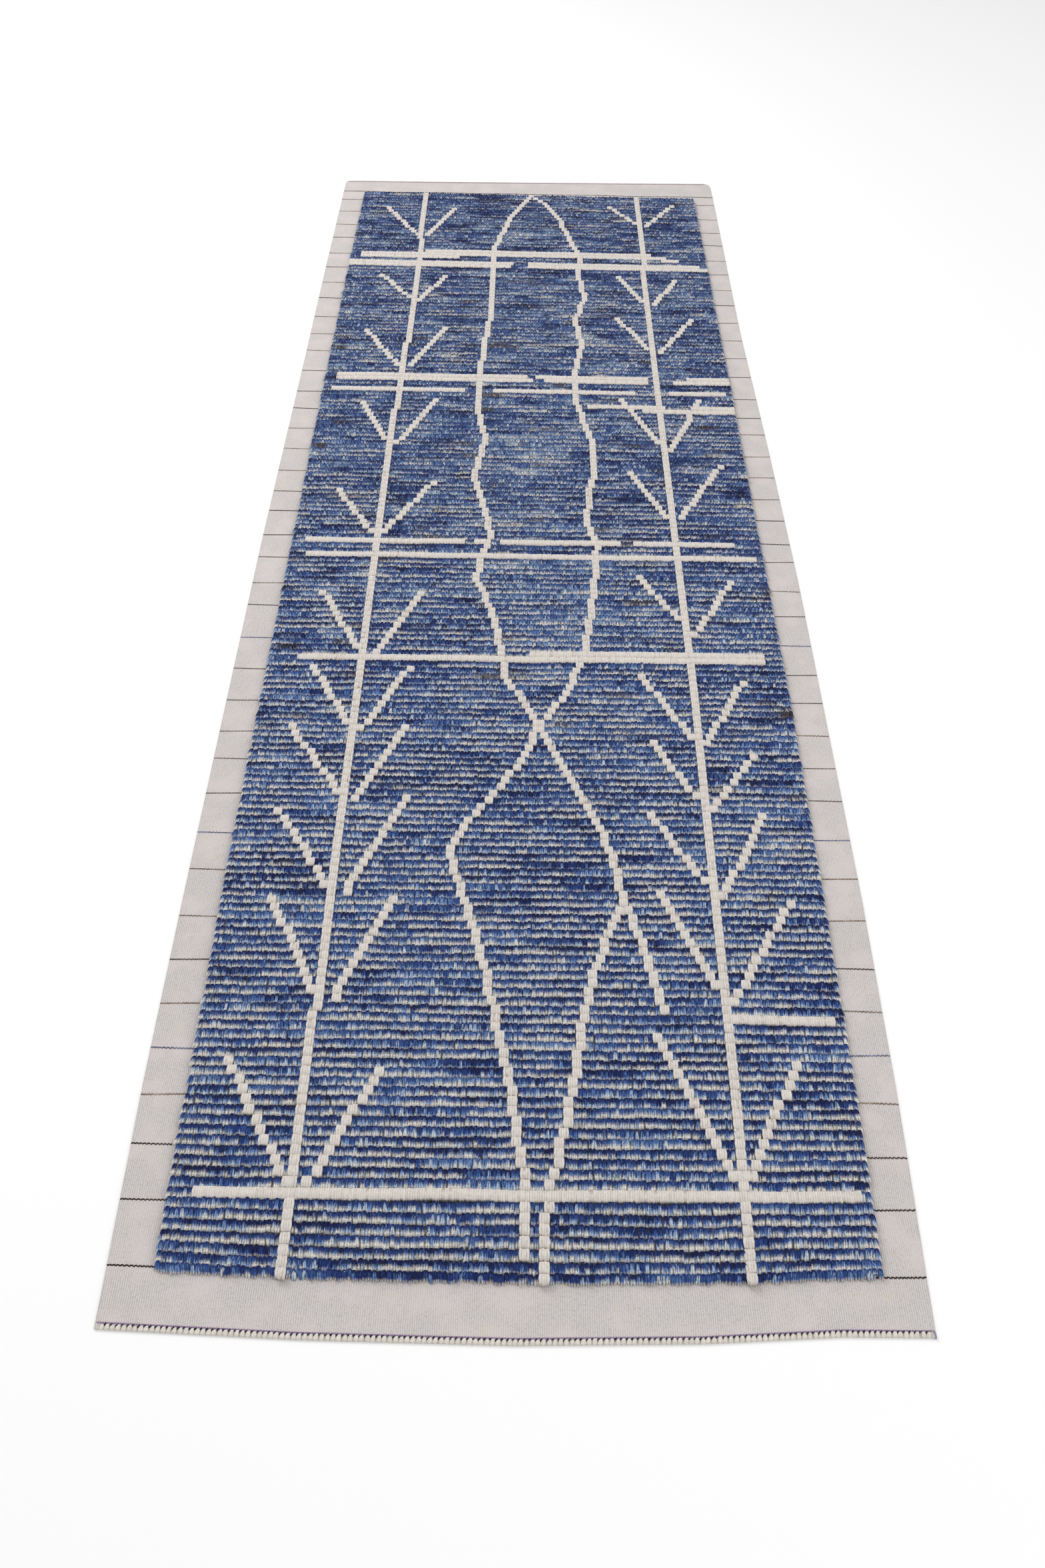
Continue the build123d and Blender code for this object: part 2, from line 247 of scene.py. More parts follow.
class Nodes:
    """Short names for building a material's node tree."""

    def __init__(self, name, roughness, sheen):
        self.material = bpy.data.materials.new(name)
        self.material.use_nodes = True
        self.tree = self.material.node_tree
        self.shader = self.tree.nodes["Principled BSDF"]
        self.shader.inputs["Roughness"].default_value = roughness
        self.shader.inputs["Sheen Weight"].default_value = sheen
        self.shader.inputs["Sheen Roughness"].default_value = SHEEN_ROUGHNESS
        self.shader.inputs["Specular IOR Level"].default_value = SPECULAR
        self.coords = self.tree.nodes.new("ShaderNodeTexCoord").outputs["Object"]

    def put(self, x, socket):
        """Gives a socket a number, a colour or another node's output."""
        if isinstance(x, (int, float)):
            socket.default_value = x
        elif isinstance(x, np.ndarray):
            socket.default_value = (*[float(k) for k in x], 1.0)
        else:
            self.tree.links.new(x, socket)

    def value(self, operation, *inputs):
        """A sum, product or other operation on one or two values."""
        node = self.tree.nodes.new("ShaderNodeMath")
        node.operation = operation
        for socket, x in zip(node.inputs, inputs):
            self.put(x, socket)
        return node.outputs[0]

    def stretched(self, scale):
        """Object coordinates times a scale."""
        node = self.tree.nodes.new("ShaderNodeMapping")
        node.inputs["Scale"].default_value = scale
        self.put(self.coords, node.inputs["Vector"])
        return node.outputs[0]

    def wandering(self, scale, reach):
        """Object coordinates split into X, Y and Z, and moved by noise times a reach in metres."""
        noise = self.tree.nodes.new("ShaderNodeTexNoise")
        noise.inputs["Scale"].default_value = scale
        self.put(self.coords, noise.inputs["Vector"])
        moved = self.tree.nodes.new("ShaderNodeVectorMath")
        moved.operation = "MULTIPLY_ADD"
        moved.inputs[1].default_value = reach
        self.put(noise.outputs["Color"], moved.inputs[0])
        self.put(self.coords, moved.inputs[2])
        split = self.tree.nodes.new("ShaderNodeSeparateXYZ")
        self.put(moved.outputs[0], split.inputs[0])
        return split.outputs

    def noise(self, scale, detail, vector=None):
        """Noise from 0 to 1."""
        node = self.tree.nodes.new("ShaderNodeTexNoise")
        node.inputs["Scale"].default_value = scale
        node.inputs["Detail"].default_value = detail
        node.inputs["Roughness"].default_value = NOISE_ROUGHNESS
        self.put(self.coords if vector is None else vector, node.inputs["Vector"])
        return node.outputs["Fac"]

    def ramp(self, value, low, high, to_low=0.0, to_high=1.0):
        """A smooth step from one value to another where the input goes from low to high."""
        node = self.tree.nodes.new("ShaderNodeMapRange")
        node.interpolation_type = "SMOOTHSTEP"
        for name, x in (("From Min", low), ("From Max", high), ("To Min", to_low), ("To Max", to_high)):
            node.inputs[name].default_value = x
        self.put(value, node.inputs["Value"])
        return node.outputs["Result"]

    def mix(self, share, first, second, blend="MIX"):
        """The first colour, mixed with a share of the second."""
        node = self.tree.nodes.new("ShaderNodeMix")
        node.data_type = "RGBA"
        node.blend_type = blend
        factor = [s for s in node.inputs if s.name == "Factor" and s.type == "VALUE"][0]
        self.put(share, factor)
        for socket, x in zip([s for s in node.inputs if s.type == "RGBA"], (first, second)):
            self.put(x, socket)
        return [s for s in node.outputs if s.type == "RGBA"][0]

    def grey(self, value):
        """A grey from one value."""
        node = self.tree.nodes.new("ShaderNodeCombineColor")
        for socket in node.inputs:
            self.put(value, socket)
        return node.outputs[0]

    def attribute(self, name):
        """A colour kept in the mesh."""
        node = self.tree.nodes.new("ShaderNodeAttribute")
        node.attribute_name = name
        return node.outputs["Color"]

    def finish(self, colour, height, depth, strength):
        """The material with this colour, and with a bump whose height of 1 stands for a depth in metres."""
        self.put(colour, self.shader.inputs["Base Color"])
        node = self.tree.nodes.new("ShaderNodeBump")
        node.inputs["Distance"].default_value = depth
        node.inputs["Strength"].default_value = strength
        self.put(height, node.inputs["Height"])
        self.put(node.outputs["Normal"], self.shader.inputs["Normal"])
        return self.material


def yarn_material(name, strand_scale, contrast, sheen):
    """Wool yarn whose colour is in the mesh, with fine fibres that vary it."""
    n = Nodes(name, 0.92, sheen)
    fibres = n.noise(strand_scale, 3.0, n.stretched((1.0, 0.35, 0.6)))
    streak = n.ramp(fibres, 0.3, 0.7, 1.0 - contrast, 1.0 + contrast)
    blotch = n.ramp(n.noise(160.0, 2.0), 0.3, 0.7, -0.06, 0.06)
    shade = n.value("ADD", streak, blotch)
    tinted = n.mix(1.0, n.attribute("yarn"), n.grey(shade), "MULTIPLY")
    return n.finish(tinted, fibres, 0.0005, 0.5)


def ground_material():
    """Flat weave: ribs along the rug with small weft bumps, faint pink and green tints, a few flecks."""
    n = Nodes("ground_weave", 0.95, 0.15)
    place = n.wandering(60.0, (0.0016, 0.0022, 0.0))
    rib = n.value("MULTIPLY", place["X"], 1 / (RIB_PITCH * MM))
    parity = n.value("MULTIPLY", n.value("FLOOR", rib), math.pi)
    weft = n.value("MULTIPLY", place["Y"], 2 * math.pi / (WEFT_PITCH * MM))
    bead = n.ramp(n.value("SINE", n.value("ADD", weft, parity)), -0.9, 0.9)
    ribbed = n.ramp(n.value("ABSOLUTE", n.value("SINE", n.value("MULTIPLY", rib, math.pi))), 0.0, 0.8)
    height = n.value("MULTIPLY", ribbed, n.value("ADD", n.value("MULTIPLY", bead, 0.6), 0.4))
    fuzz = n.noise(1400.0, 3.0)
    height = n.value("ADD", height, n.value("MULTIPLY", fuzz, 0.35))

    # Painted shade: the low parts of the weave get a darker colour, as if shaded in its recesses
    painted_recess_shade, cream = linear(178, 172, 169), linear(212, 207, 205)
    colour = n.mix(n.ramp(height, 0.15, 1.0), painted_recess_shade, cream)
    green_place = n.stretched((1.0, 0.6, 1.0))
    # (noise, where its tint starts, where it is full, how strong it is then, colour)
    tints = [
        (n.noise(330.0, 3.0), 0.46, 0.66, 0.55, linear(178, 171, 168)),  # wool specks
        (n.noise(22.0, 3.0), 0.42, 0.68, 0.55, linear(214, 202, 201)),  # pink
        (n.noise(31.0, 2.0, green_place), 0.55, 0.75, 0.4, linear(205, 200, 184)),  # green
        (n.noise(420.0, 1.0), 0.72, 0.78, 0.5, linear(150, 140, 136)),  # dark flecks
    ]
    for noise, start, full, strength, tint in tints:
        colour = n.mix(n.ramp(noise, start, full, 0.0, strength), colour, tint)
    return n.finish(colour, height, 0.00035, 0.7)


BLUE_MATERIAL = yarn_material("wool_blue", 1500.0, 0.30, 0.05)
IVORY_MATERIAL = yarn_material("wool_ivory", 1300.0, 0.10, 0.2)
THREAD_MATERIAL = yarn_material("twisted_thread", 2200.0, 0.25, 0.1)
GROUND_MATERIAL = ground_material()

# ---------------------------------------------------------------- which knots are ivory
LOOK_FROM, LOOK_DEPTH = 0.05, 0.045  # metres above the floor, and how far down a knot is looked for
ivory_nodes = sorted(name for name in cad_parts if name.startswith("ivory_"))


def find_owners():
    """For each knot, the number of the ivory CAD node that stands there, or -1 where it is blue."""
    points, faces, node_of_face = [], [], []
    for number, name in enumerate(ivory_nodes):
        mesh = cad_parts[name].data
        start = len(points)
        points += [v.co.copy() for v in mesh.vertices]
        for polygon in mesh.polygons:
            faces.append([start + i for i in polygon.vertices])
            node_of_face.append(number)
    lines = BVHTree.FromPolygons(points, faces)
    column, row = np.meshgrid(np.arange(COLUMNS) + 0.5, np.arange(ROWS) + 0.5)
    x, y = corner(column, row)
    owners = np.full(ROWS * COLUMNS, -1)
    for knot, place in enumerate(zip(x.ravel() * MM, y.ravel() * MM)):
        face = lines.ray_cast(Vector((*place, LOOK_FROM)), Vector((0, 0, -1)), LOOK_DEPTH)[2]
        if face is not None:
            owners[knot] = node_of_face[face]
    return owners.reshape(ROWS, COLUMNS)


owner = find_owners()

# ---------------------------------------------------------------- how rows wander and how their dye varies
row_share = (np.arange(ROWS) + 0.5)[:, None] / ROWS
column_share = (np.arange(COLUMNS) + 0.5)[None] / COLUMNS


def row_noise(step):
    """Noise that changes smoothly along each row, with a fresh control value every so many columns."""
    control = rng.normal(size=(ROWS, int(COLUMNS / step) + 3))
    place = np.arange(COLUMNS)[None] / step + rng.random(ROWS)[:, None]
    first = place.astype(int)
    t = place - first
    t = t * t * (3 - 2 * t)
    row = np.arange(ROWS)[:, None]
    return control[row, first] * (1 - t) + control[row, first + 1] * t


def lengthwise(*points):
    """Value for each row from a few (share of the rug's length, value)."""
    return along(points, row_share)


wander_y = 0.9 * row_noise(16)
wander_y = (np.roll(wander_y, 1, 0) + wander_y + np.roll(wander_y, -1, 0)) / 2.2
dye = (
    lengthwise((0.0, 0.19), (0.25, 0.215), (0.35, 0.25), (0.6, 0.30), (1.0, 0.285))
    + (0.095 + 0.03 * row_share) * row_noise(14)
    + (0.070 + 0.05 * row_share) * row_noise(5)
    + 0.030 * rng.normal(size=(ROWS, 1))
)
# Paler and darker patches, in shares of the field:
# (middle across, middle along, half width across, half width along, how much paler)
PATCHES = [
    (0.56, 0.43, 0.12, 0.10, 0.10), (0.52, 0.56, 0.10, 0.08, 0.09), (0.57, 0.66, 0.10, 0.06, 0.07),
    (0.72, 0.34, 0.10, 0.03, 0.05), (0.25, 0.18, 0.12, 0.03, 0.05), (0.90, 0.24, 0.08, 0.03, 0.06),
    (0.16, 0.45, 0.12, 0.06, -0.05), (0.80, 0.53, 0.12, 0.07, -0.06), (0.15, 0.60, 0.12, 0.06, -0.05),
    (0.45, 0.30, 0.20, 0.05, -0.03), (0.35, 0.90, 0.30, 0.05, -0.03),
]
for across, forward, half_across, half_along, paler in PATCHES:
    away = ((column_share - across) / half_across) ** 2 + ((row_share - forward) / half_along) ** 2
    dye = dye + paler * np.exp(-away)
# Earth tones in the dye: streaks, and an even share that grows towards the back
streaks = np.clip(0.45 * row_noise(9) - 0.42, 0, 1)
brown = streaks * lengthwise((0.0, 0.12), (0.2, 0.3), (0.35, 0.9), (1.0, 0.8))
brown = brown + lengthwise((0.0, 0.02), (0.35, 0.08), (0.55, 0.2), (1.0, 0.26))
# How undyed the tips are: a pale band under every row in the front part, and less even further back
fade = lengthwise((0.0, 1.0), (0.22, 1.0), (0.40, 0.97), (0.60, 0.85), (1.0, 0.8))
fade = fade + lengthwise((0.0, 0.0), (0.3, 0.05), (0.6, 0.15), (1.0, 0.2)) * row_noise(10)
fade = np.clip(fade, 0, 1)
# Share of a tuft's length at which it starts to turn pale
pale_from = lengthwise((0.0, 0.46), (0.22, 0.46), (0.40, 0.48), (0.60, 0.46), (1.0, 0.44))
pale_from = pale_from + lengthwise((0.0, 0.08), (0.3, 0.09), (0.6, 0.14), (1.0, 0.16)) * row_noise(9)
# The outer two knots at each end of a row fan out past the field's sides, some rows more than others
splay = np.zeros((ROWS, COLUMNS))
for outermost, second, sign in ((0, 1, -1), (-1, -2, 1)):
    splay[:, outermost] = sign * (2.6 * rng.random(ROWS) + 0.6)
    splay[:, second] = sign * 1.2 * rng.random(ROWS)

# ---------------------------------------------------------------- blue knots
TUFT_LENGTH, TUFT_CREST = 12.9, 11.3
TUFT_BACK = 11.5  # from the front side of a row to the back of its tufts
# The first row's tufts are shorter, further back and pale later, and they bend down to the ground
FRONT_SHORTER, FRONT_SET_BACK, FRONT_PALE_LATER = 3.9, 1.6, 0.24
# How far below its crest a tuft is, as (share of its length, drop), and what the first row adds
DROP = [(0.0, -0.1), (0.1, 0.0), (0.36, 0.7), (0.66, 2.2), (1.0, 3.1)]
FRONT_DROP = [(0.0, 0.0), (0.1, 0.0), (0.36, 0.4), (0.66, 2.8), (1.0, 4.2)]
PALE_LENGTH = 0.2  # share of a tuft over which it turns pale
# Painted highlight on blue strands: how much lighter each knot's strands are coloured
LEAST_PAINTED_SHINE, PAINTED_SHINE_SPREAD = 0.04, 0.60  # how much its strands catch the light: few do so fully
# How much knots differ in (back, crest, lean, dye, start of the pale tip, spread, place across)
KNOT_SPREAD = [0.65, 0.5, 0.6, 0.05, 0.05, 0.18, 0.38]
# Left leg of the arch from its foot up: (from the middle, share along, size, highlight, darkening)
ARCH_LEG = [
    (2.0, 0.62, 0.65, 0.8, 0.02), (2.1, 0.33, 0.95, 1.0, 0.05), (1.75, 0.1, 1.0, 0.7, 0.10),
    (0.95, 0.0, 1.0, 0.3, 0.13),
]
ARCH_WIDE, ARCH_THICK = 0.9, 1.05
# The loose ply, from its root: (share along, above the pile, how far it sways)
PLY = [(0.0, -0.3, 0.0), (0.12, 0.9, 0.5), (0.3, 1.1, 1.3), (0.5, -0.2, 1.6)]
PLY_WIDE, PLY_THICK = 0.5, 0.45
PLY_GLINT_END = 0.55  # share of a tuft at which the glint on its loose ply ends
PLY_SPREAD = [1.1, 1.0, 0.2, 0.15]  # how much plies differ in (place across, sway, length, height)
# A strand from its root: (share along, from the middle, below the pile, half width, half thickness, glint)
STRAND = [
    (0.03, 1.0, 4.0, 1.6, 0.8, 0.0), (0.05, 1.05, 0.7, 1.8, 0.8, 0.5), (0.36, 1.2, 0.6, 2.05, 0.75, 1.0),
    (0.64, 1.4, 0.3, 2.4, 0.6, 0.8), (1.0, 1.45, 0.0, 2.6, 0.35, 0.4),
]
STRAY_SHARE = 0.06  # of strands that stick out
FRONT_TIP_WIDTH = 0.4  # share of its width that a strand's tip has in the first row


def both(values):
    """Values by knot, repeated for the two yarn ends of each."""
    return np.repeat(values, 2, 0)


def blue_shade(value, rows, columns):
    """Colour of blue yarn for values by knot, ring and side, with earth tones where the dye has them."""
    share = np.clip(brown[rows, columns] * (0.5 + rng.random(len(rows))), 0, 1)[:, None, None, None]
    earth = BROWN_YARN * (0.55 + 1.6 * np.clip(value, 0, 1)[..., None])
    return blue_colour(value) * (1 - share) + earth * share


class BlueKnots:
    """Where each of many blue knots stands and how it is dyed."""

    def __init__(self, rows, columns):
        self.rows, self.columns, self.count = rows, columns, len(rows)
        self.front = rows == 0
        x, y = corner(columns + 0.5, rows.astype(float))
        back, crest, lean, own, start, spread, across = (rng.normal(size=(self.count, 7)) * KNOT_SPREAD).T
        self.x = x + across
        self.back = y + wander_y[rows, columns] + TUFT_BACK + back + FRONT_SET_BACK * self.front
        self.length = TUFT_LENGTH - FRONT_SHORTER * self.front
        self.crest = TUFT_CREST + crest
        self.lean = lean + splay[rows, columns]
        self.spread = 1 + spread
        self.dye = dye[rows, columns] + own
        self.painted_shine = LEAST_PAINTED_SHINE + PAINTED_SHINE_SPREAD * rng.random(self.count) ** 2.0
        self.pale_from = pale_from[rows, columns] + start + FRONT_PALE_LATER * self.front
        self.fade = fade[rows, columns]

    def height(self, share):
        """Height of the pile at a share of a tuft's length."""
        return self.crest - (along(DROP, share) + self.front * along(FRONT_DROP, share))

    def pale(self, shares):
        """How undyed each knot is at rings that are some shares of its length along."""
        return np.clip((shares - by_tube(self.pale_from)) / PALE_LENGTH, 0, 1) * by_tube(self.fade)


def arches(knots):
    """A dark arch of yarn round the back of each knot, and its colours."""
    out, shares, size, highlight, darker = np.array(ARCH_LEG + ARCH_LEG[::-1]).T
    out[: len(ARCH_LEG)] *= -1
    steps = []
    for away, share in zip(out, shares):
        x = knots.x + away * knots.spread + knots.lean * share
        steps.append((x, knots.back - knots.length * share, knots.height(share)))
    wide, thick = ARCH_WIDE * size, ARCH_THICK * size
    tubes = Tubes(path_of(steps), wide, thick, 3, across=(0.0, 0.0, 1.0), squares=4 * knots.count)
    pale = knots.pale(by_ring(shares))
    lit = (tubes.cosine > 0.9) * by_ring(highlight) * by_tube(0.2 * rng.random(knots.count))
    value = (by_tube(knots.dye) - by_ring(darker) + lit) * (1 - pale) + pale
    return tubes, blue_shade(value, knots.rows, knots.columns)


def loose_plies(knots):
    """One loose ply on each knot that curls over the others, and its colours."""
    place, curl, longer, higher = (rng.normal(size=(knots.count, 4)) * PLY_SPREAD).T
    steps = []
    for share, rise, sway in PLY:
        y = knots.back - knots.length * share * (1 + longer)
        steps.append((knots.x + place + curl * sway, y, knots.height(share) + rise + higher))
    tubes = Tubes(
        path_of(steps), PLY_WIDE, PLY_THICK, 3, spin=math.pi / 2, first=knots.count, squares=4 * knots.count,
    )
    shares = by_ring([share for share, _, _ in PLY])
    glint = by_tube(rng.random(knots.count) ** 2 * 0.6 - 0.1) * np.sin(np.pi * shares / PLY_GLINT_END)
    pale = knots.pale(shares)
    value = (by_tube(knots.dye) + glint) * (1 - pale) + pale
    return tubes, blue_shade(np.broadcast_to(value, tubes.sine.shape), knots.rows, knots.columns)


def strands(knots):
    """Two strands inside each arch that run forward and turn pale, and their colours."""
    count, front = 2 * knots.count, both(knots.front)
    hand = np.tile([-1.0, 1.0], knots.count)
    longer, higher, sideways, astray = rng.normal(size=(count, 4)).T
    stray = rng.random(count) < STRAY_SHARE
    reach = both(knots.length) + 0.45 * longer + 0.9 * stray + 0.5 * higher * front
    lean = both(knots.lean) + 0.35 * sideways + 1.2 * stray * astray
    shares, out, sink, wide, thick, highlight = np.array(STRAND).T
    steps = []
    for share, away, below in zip(shares, out, sink):
        height = both(knots.height(share)) - below + 0.25 * higher * share
        steps.append((both(knots.x) + hand * away + lean * share, both(knots.back) - reach * share, height))
    wide = wide[None] * (1 + 0.07 * longer[:, None])
    wide[front, -1] *= FRONT_TIP_WIDTH
    tubes = Tubes(
        path_of(steps), wide, thick, 3, spin=math.pi / 2, first=2 * knots.count, squares=4 * knots.count,
    )
    pale_start = by_tube(both(knots.pale_from) + 0.05 * higher)
    from_root = by_ring([0.0, *shares[1:]])
    pale = np.clip((from_root - pale_start) / PALE_LENGTH, 0, 1) * by_tube(both(knots.fade))
    # Painted highlight, strongest on a strand's top side, and painted shade on its other sides, also on its
    # pale tip
    lit = by_tube(both(knots.painted_shine) * (0.7 + 0.6 * rng.random(count))) * by_ring(highlight)
    lit = lit * (0.85 + 0.15 * tubes.sine)
    under = tubes.sine < 0.9
    value = by_tube(both(knots.dye)) + lit - 0.08 * under
    value = value * (1 - pale) + pale * (1 - 0.05 * under)
    return tubes, blue_shade(value, both(knots.rows), both(knots.columns))


def blue_tufts(name, rows, columns):
    """A piece of blue knots, each made of a dark arch, a loose ply and two strands."""
    knots = BlueKnots(rows, columns)
    sets, colours = zip(arches(knots), loose_plies(knots), strands(knots))
    return tube_piece(name, sets, colours, BLUE_MATERIAL)


# ---------------------------------------------------------------- ivory knots
HALF_END = 1.41  # from the middle of an ivory knot to the middle of one of its yarn ends
IVORY_TOP, IVORY_LENGTH = 11.6, 12.9
IVORY_FRONT_SHORTER = 2.6  # in the first row
IVORY_GAP = 0.3  # from the back of a knot to the next row
# How much ends differ in (lean, top, back, reach, width)
IVORY_SPREAD = [0.12, 0.25, 0.25, 0.3, 0.03]
# A yarn end from its root over its top: (share along, height, how far an outer end bulges), where the heights
# of the middle ones are from its own top
IVORY_ROOT = [(0.0, 2.4, -0.5), (0.0, 10.7, -0.4)]
IVORY_OVER = [(0.04, -0.1, -0.2), (0.5, 0.25, 0.5), (0.97, -0.15, 0.0), (1.01, -1.6, -0.3)]
IVORY_TIP = [(0.99, 4.0, -0.4)]
# The same rings' (half width, half thickness, painted shade, speck)
IVORY_RINGS = [
    (1.9, 1.0, 0.9, 0.0), (2.0, 1.1, 0.5, 0.8), (2.15, 1.15, 0.12, 0.7), (2.2, 1.15, 0.0, 0.0),
    (2.15, 1.1, 0.12, 0.4), (2.1, 1.1, 0.45, 0.5), (1.7, 1.0, 0.8, 0.5),
]
SPECKED_SHARE = 0.05  # of yarn ends that have specks


def ivory_tufts(name, rows, columns):
    """Ivory yarn ends: thicker and fuller, so that each knot is a rounded block as long as the row."""
    r, c = both(rows), both(columns)
    x, y = corner(c + 0.5, r.astype(float))
    hand = np.tile([-1.0, 1.0], len(rows))
    beside = np.where(hand < 0, np.roll(owner, 1, 1)[r, c], np.roll(owner, -1, 1)[r, c])
    outer = hand * (beside < 0)
    count = len(x)
    lean, higher, set_back, longer, wider = (rng.normal(size=(count, 5)) * IVORY_SPREAD).T
    x = x + HALF_END * hand
    top = IVORY_TOP + higher
    back = y + wander_y[r, c] + ROW_PITCH - IVORY_GAP + set_back
    reach = IVORY_LENGTH - IVORY_FRONT_SHORTER * (r == 0) + longer
    shape = IVORY_ROOT + [(share, top + above, bulge) for share, above, bulge in IVORY_OVER] + IVORY_TIP
    steps = [(x + lean * share + outer * bulge, back - reach * share, z) for share, z, bulge in shape]
    wide, thick, shade, speck = np.array(IVORY_RINGS).T
    yarn = Tubes(path_of(steps), wide[None] * (1 + wider[:, None]), thick, 4, spin=math.pi / 4)
    # Painted shade: darker near the root and the tip of each end, where it goes down between rows, and on its
    # lower sides; then brown specks on a few ends
    shade = 0.22 * (by_ring(shade) + 0.3 * (yarn.sine < 0.1))
    shade = shade + by_tube(rng.random(count) < SPECKED_SHARE) * by_ring(speck)
    shade = np.clip(shade + 0.05 * rng.normal(size=(count, 1, 1)), 0, 1)[..., None]
    return tube_piece(name, [yarn], [IVORY_YARN * (1 - shade) + IVORY_PAINTED_SHADE_AND_SPECK * shade], IVORY_MATERIAL)


# ---------------------------------------------------------------- the pile's pieces
# First and last row of each blue CAD node, from the front, and about how many rows one piece has
BLUE_BANDS = [(0, 7), (8, 25), (26, 75), (76, 96), (97, 131), (132, 140), (141, 174), (175, 202)]
ROWS_A_PIECE = 8

pile = []
for band, (first, last) in enumerate(BLUE_BANDS, 1):
    parts = max(1, round((last - first + 1) / ROWS_A_PIECE))
    cuts = np.linspace(first, last + 1, parts + 1).astype(int)
    for part, (low, high) in enumerate(zip(cuts, cuts[1:]), 1):
        rows, columns = np.nonzero(owner[low:high] < 0)
        piece = blue_tufts(f"blue_tufts_{band}_{part}", rows + low, columns)
        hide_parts(f"blue_pile_{band}")
        pile.append(piece)
for number, name in enumerate(ivory_nodes):
    rows, columns = np.nonzero(owner == number)
    piece = ivory_tufts(name.replace("ivory_", "ivory_knots_"), rows, columns)
    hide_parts(name)
    pile.append(piece)

# ---------------------------------------------------------------- ground weave
FRONT_WIDTH = 900.0
RIBBED_WIDTH = 915.0  # width that the ribs are counted over
USUAL_WIDTH, USUAL_LENGTH = 912.0, 2865.0  # sizes that turn shares of the ground into millimetres
GROUND_TOP, RIB_HEIGHT, DRIFT_HEIGHT = 2.62, 0.36, 0.09
SIDE_HEIGHT, SIDE_ROUND = 1.4, 1.4  # height at which the rounded sides close, and their radius
END_BAND = 7.6  # length of the thin tongue at each end that the stitches go round
TONGUE_LOW, TONGUE_TOP, TONGUE_STEP = 0.85, 2.1, 1.5
END_LINES = [0.3, 0.9, 2.0, 5.0, END_BAND, 9.0]  # lines of the mesh near an end, from the end
MIDDLE_LINES = np.linspace(20, 2845, 40)


def outline_point(u, v):
    """Plan point at shares u across and v along the ground."""
    x = FRONT_WIDTH * u
    for _ in range(3):
        y = along(FRONT_EDGE, x) * (1 - v) + along(BACK_EDGE, x) * v
        left, right = along(LEFT_EDGE, y), along(RIGHT_EDGE, y)
        x = left + (right - left) * u
    return x, y


def ground_cloth():
    """The woven ground: ribbed on top and flat below, with rounded sides and a thin tongue at each end."""
    lines_across = int(round(RIBBED_WIDTH / RIB_PITCH)) * 2 + 1
    ends = np.array(END_LINES) / USUAL_LENGTH
    lengthways = np.concatenate([ends, MIDDLE_LINES / USUAL_LENGTH, 1 - ends[::-1]])
    v, u = np.meshgrid(lengthways, np.linspace(0, 1, lines_across), indexing="ij")
    x, y = outline_point(u, v)
    from_end = np.minimum(v, 1 - v) * USUAL_LENGTH
    from_side = np.minimum(u, 1 - u) * USUAL_WIDTH
    ridge = (np.arange(lines_across) % 2)[None] * RIB_HEIGHT
    # long soft waves of the cloth, which don't repeat
    drift = DRIFT_HEIGHT * np.sin(x / 61.0 + 1.7 * np.sin(y / 190.0)) * np.sin(y / 83.0 + x / 210.0)
    tongue = np.clip((END_BAND - from_end) / TONGUE_STEP, 0, 1)
    rounding = np.sqrt(np.clip(1 - (1 - np.clip(from_side / SIDE_ROUND, 0, 1)) ** 2, 0, 1))
    top = (GROUND_TOP + ridge + drift) * (1 - tongue) + TONGUE_TOP * tongue
    points = []
    for height in (top, TONGUE_LOW * tongue):
        z = SIDE_HEIGHT + (height - SIDE_HEIGHT) * rounding
        points.append(np.stack([x - MIDDLE[0], y - MIDDLE[1], z], -1).reshape(-1, 3))

    number = np.arange(x.size).reshape(x.shape)
    a, b, c, d = number[:-1, :-1], number[:-1, 1:], number[1:, 1:], number[1:, :-1]
    top_faces = np.stack([a, b, c, d], -1).reshape(-1, 4)
    low_faces = np.stack([a, d, c, b], -1).reshape(-1, 4) + x.size
    rim = np.concatenate([number[0, :], number[1:, -1], number[-1, -2::-1], number[-2:0:-1, 0]])
    next_rim = np.roll(rim, -1)
    rim_faces = np.stack([rim + x.size, next_rim + x.size, next_rim, rim], -1)
    faces = np.concatenate([top_faces, low_faces, rim_faces])
    return mesh_piece("ground_weave_cloth", np.concatenate(points), [faces], GROUND_MATERIAL)


ground = ground_cloth()
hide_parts("ground_weave")

# ---------------------------------------------------------------- marker wefts
WEFT_COLOURS = {
    "marker_wefts_dark": ("dark_weft", linear(34, 17, 18)),
    "marker_wefts_brown": ("brown_weft", linear(126, 106, 92)),
    "marker_wefts_blue": ("blue_weft", linear(60, 78, 134)),
}
ROD_GAP = 8.0  # rods of one CAD node are further apart than this, and are thinner
WEFT_WAVE = 4.6  # length of a wave, as a weft goes over and under the warps
WEFT_HEIGHT, WEFT_THICK, WEFT_SIDES = 2.95, 0.7, 6
WEFT_SWING = [(0.15, 0.65), (0.3, 0.5)]  # sideways, by share of the rug's length
WEFT_WIDE = [(0.15, 1.0), (0.3, 0.8)]  # half width, by share of the rug's length
BORDER, BORDER_RINGS = 70.0, 57  # length at each end of a weft that shows and has close rings
UNDER_PILE_GAP, UNDER_PILE_RINGS = 6.0, 110
RUG_LENGTH = 2850.0


def rods(name):
    """The left and right end of each rod in a CAD node of wefts, from front to back."""
    points = np.array([v.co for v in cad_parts[name].data.vertices]) / MM
    ends = []
    for half in (points[points[:, 0] < 0], points[points[:, 0] >= 0]):
        half = half[np.argsort(half[:, 1])]
        cuts = np.nonzero(np.diff(half[:, 1]) > ROD_GAP)[0] + 1
        ends.append([group.mean(0) for group in np.split(half, cuts)])
    return zip(*ends)


